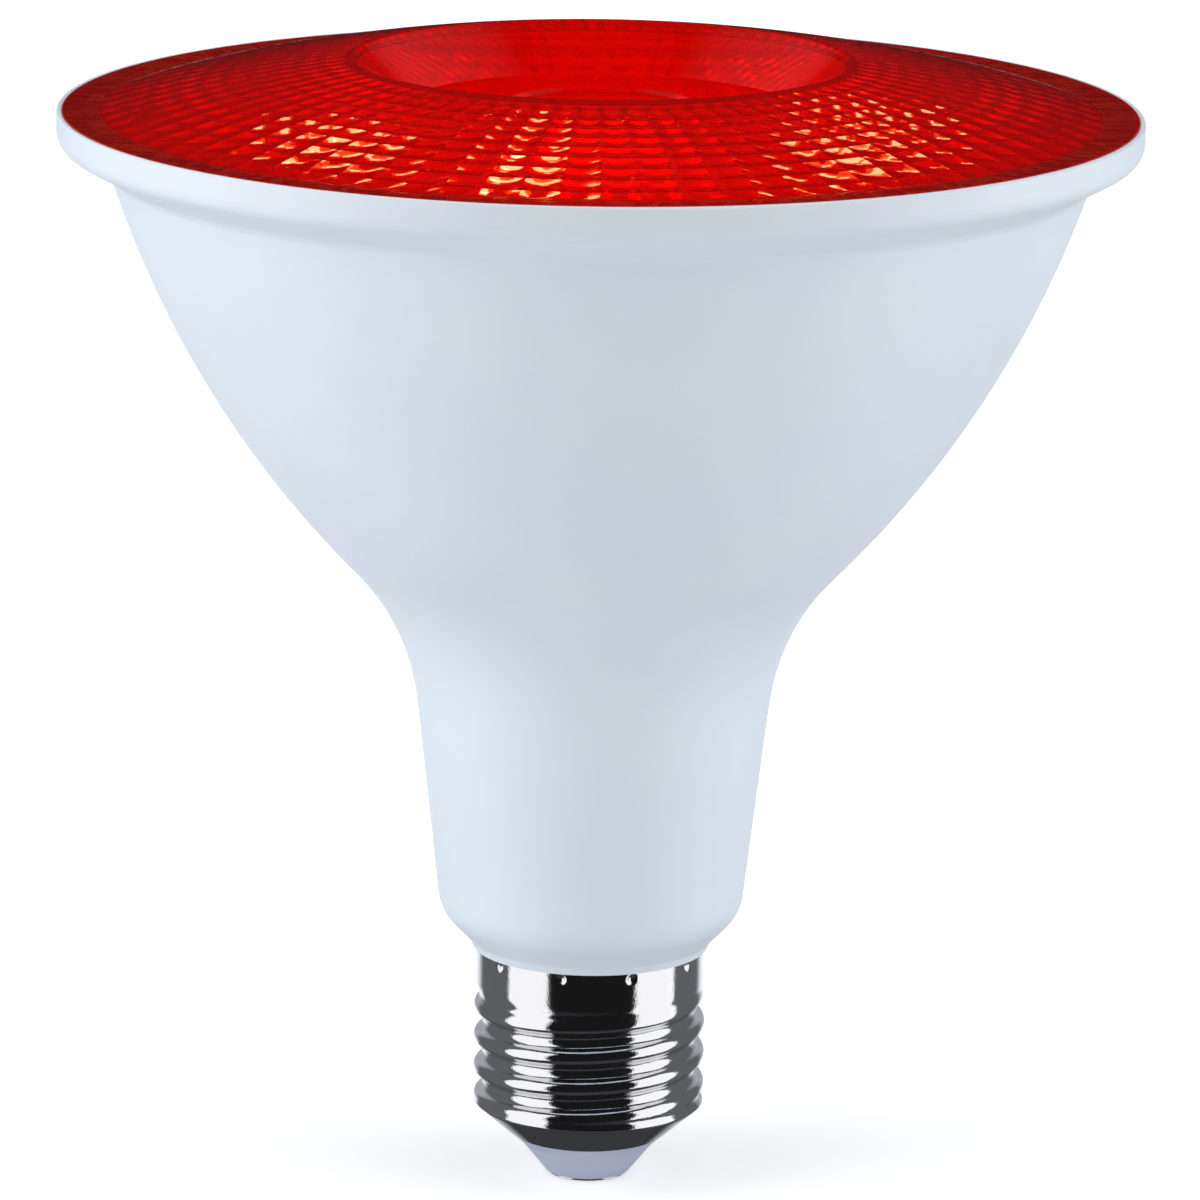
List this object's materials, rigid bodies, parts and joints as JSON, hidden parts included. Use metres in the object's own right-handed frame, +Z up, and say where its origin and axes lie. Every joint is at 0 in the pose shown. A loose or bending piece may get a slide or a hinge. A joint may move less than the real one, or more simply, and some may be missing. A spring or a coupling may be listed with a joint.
{
  "type": "spotlight bulb",
  "caption": "Reflector-shaped spotlight bulb with a red faceted lens, a white bell housing and a screw base, with its light source board and driver inside.",
  "frame": {"origin": "middle of the centre contact's underside, on the optical axis", "axes": "+Z up the optical axis from the base to the lens, -Y towards the picture's viewer"},
  "size_m": [0.1206, 0.1206, 0.1289],
  "materials": {
    "red_lens": "clear red moulded plastic, polished",
    "silicone": "soft silicone",
    "white_plastic": "matt white moulded plastic",
    "nickel_plate": "bright nickel plate on brass",
    "insulator": "pale grey moulded plastic",
    "metallised": "vacuum-metallised plastic",
    "aluminium": "pressed sheet, satin",
    "board_white": "aluminium-core board with white mask",
    "emitter": "white package with a yellow window",
    "steel": "plated steel",
    "board_green": "green glass-fibre board",
    "ferrite": "dark grey ferrite",
    "bobbin": "black moulded plastic",
    "winding": "copper wire under yellow tape",
    "can_sleeve": "shrink sleeve on an aluminium can",
    "film_case": "yellow moulded case",
    "package": "black moulded package",
    "varistor": "blue dipped coating",
    "fuse_body": "grey-green cement coating",
    "lead_red": "insulated lead",
    "lead_black": "insulated lead",
    "lead_white": "insulated lead"
  },
  "bodies": {
    "root": {"front_lens": "red_lens", "lens_seal": "silicone", "housing": "white_plastic", "screw_shell": "nickel_plate", "base_insulator": "insulator", "centre_contact": "nickel_plate", "reflector": "metallised", "heat_sink_cup": "aluminium", "thermal_pad": "silicone", "led_board": "board_white", "led_emitters": "emitter", "board_screws": "steel", "driver_board": "board_green", "transformer_core": "ferrite", "transformer_bobbin": "bobbin", "transformer_winding": "winding", "input_capacitor": "can_sleeve", "output_capacitor": "can_sleeve", "film_capacitor": "film_case", "bridge_rectifier": "package", "controller_chip": "package", "choke": "ferrite", "varistor": "varistor", "fuse_resistor": "fuse_body", "led_lead_plus": "lead_red", "led_lead_minus": "lead_black", "live_lead": "lead_black", "neutral_lead": "lead_white"}
  },
  "joints": []
}
